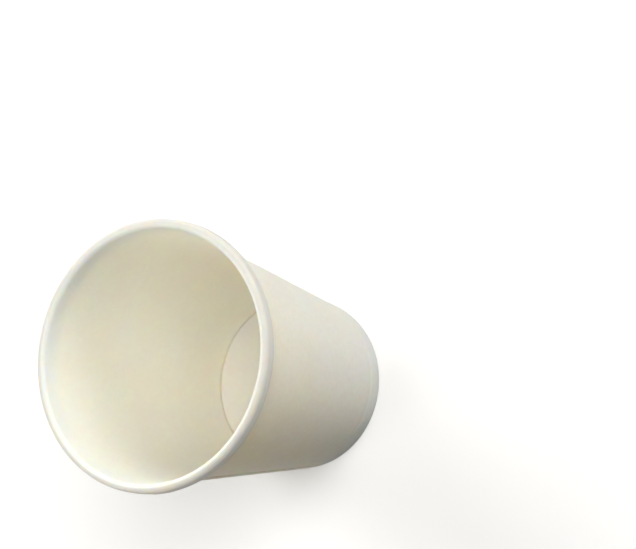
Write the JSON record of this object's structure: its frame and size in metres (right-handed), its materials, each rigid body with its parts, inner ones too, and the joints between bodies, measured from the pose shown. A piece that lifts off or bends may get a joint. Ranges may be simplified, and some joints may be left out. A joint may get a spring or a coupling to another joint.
{
  "type": "paper coffee cup",
  "caption": "Single-wall paper cup for hot drinks: tapered board wall with a glued side seam, a rolled rim, and a recessed bottom held above a folded foot.",
  "frame": {"origin": "centre of the ring that the cup stands on, in its resting plane", "axes": "+Z along the cup's axis towards the mouth; X and Y lie in the resting plane"},
  "size_m": [0.075, 0.075, 0.0881],
  "materials": {
    "wall_board": "satin",
    "bottom_board": "satin"
  },
  "bodies": {
    "root": {"sidewall": "wall_board", "bottom_disc": "bottom_board"}
  },
  "joints": []
}
